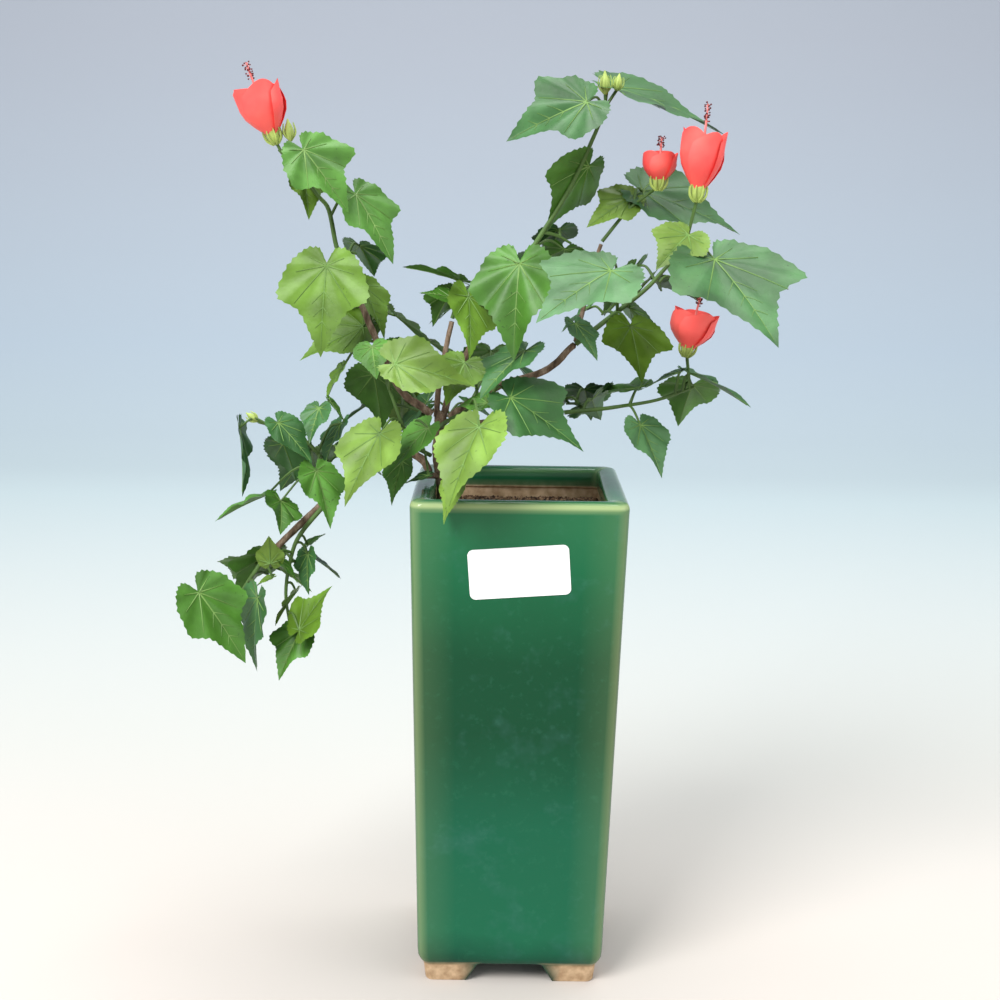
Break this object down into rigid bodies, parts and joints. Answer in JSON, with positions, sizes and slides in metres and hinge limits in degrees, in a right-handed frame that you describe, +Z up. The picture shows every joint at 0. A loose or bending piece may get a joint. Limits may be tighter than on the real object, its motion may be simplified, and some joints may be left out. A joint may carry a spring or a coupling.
{
  "type": "bonsai_tree",
  "caption": "Potted wax mallow bonsai: slender trunk, spreading and cascading boughs with lobed leaves and red furled flowers, in a tall square glazed pot on corner feet.",
  "frame": {"origin": "middle of the bounding box's bottom, on the ground under the pot's feet", "axes": "+X to the right of the front view, +Y away from the front, +Z up along the plant and its pot"},
  "size_m": [0.2581, 0.146, 0.3885],
  "materials": {
    "pot_glaze": "deep green gloss glaze, paler at the edges",
    "soil": "dry granular substrate",
    "bark": "thin grey-brown bark",
    "leaf_green": "soft matte leaves"
  },
  "bodies": {
    "root": {"pot": "pot_glaze", "soil": "soil", "trunk": "bark", "bough_left_lower": "bark", "bough_left_upper": "bark", "bough_centre": "bark", "bough_middle": "bark", "bough_right": "bark", "bough_right_upper": "bark", "bough_low_right": "bark", "bough_cascade_upper": "bark", "bough_cascade_lower": "bark", "foliage_left_crown": "leaf_green", "foliage_left_shoulder": "leaf_green", "foliage_left_front": "leaf_green", "foliage_centre_front": "leaf_green", "foliage_centre_top": "leaf_green", "foliage_top": "leaf_green", "foliage_right_upper": "leaf_green", "foliage_right": "leaf_green", "foliage_low_right": "leaf_green", "foliage_cascade_top": "leaf_green", "foliage_cascade_side": "leaf_green", "foliage_cascade_tip": "leaf_green", "foliage_back_left": "leaf_green", "foliage_back_middle": "leaf_green", "foliage_back_right": "leaf_green"}
  },
  "joints": []
}
